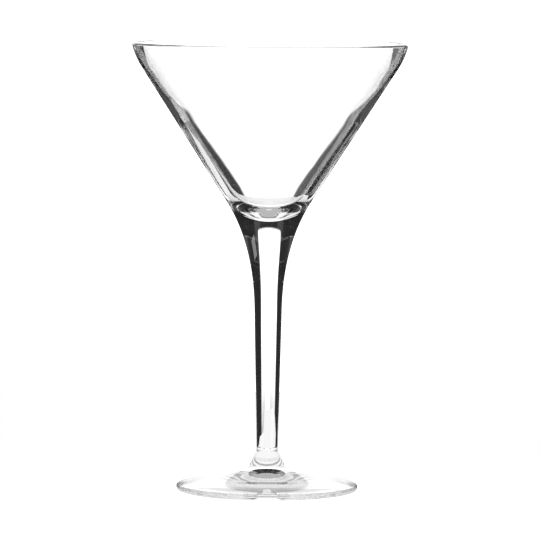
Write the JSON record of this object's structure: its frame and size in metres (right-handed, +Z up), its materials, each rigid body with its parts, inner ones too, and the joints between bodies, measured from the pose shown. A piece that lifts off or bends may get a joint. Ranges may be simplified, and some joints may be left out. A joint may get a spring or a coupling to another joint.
{
  "type": "martini glass",
  "caption": "Stemmed cocktail glass in clear glass with a wide conical bowl, a slim flared stem and a round foot.",
  "frame": {"origin": "on the table, at the glass's axis, under the middle of the foot", "axes": "+Z up along the glass's axis, from the foot to the rim; the glass looks the same all round, so +X is free"},
  "size_m": [0.1082, 0.1082, 0.176],
  "materials": {
    "clear_glass": "clear colourless soda-lime glass, fire-polished, smooth and glossy"
  },
  "bodies": {
    "root": {"bowl": "clear_glass", "stem": "clear_glass", "foot": "clear_glass"}
  },
  "joints": []
}
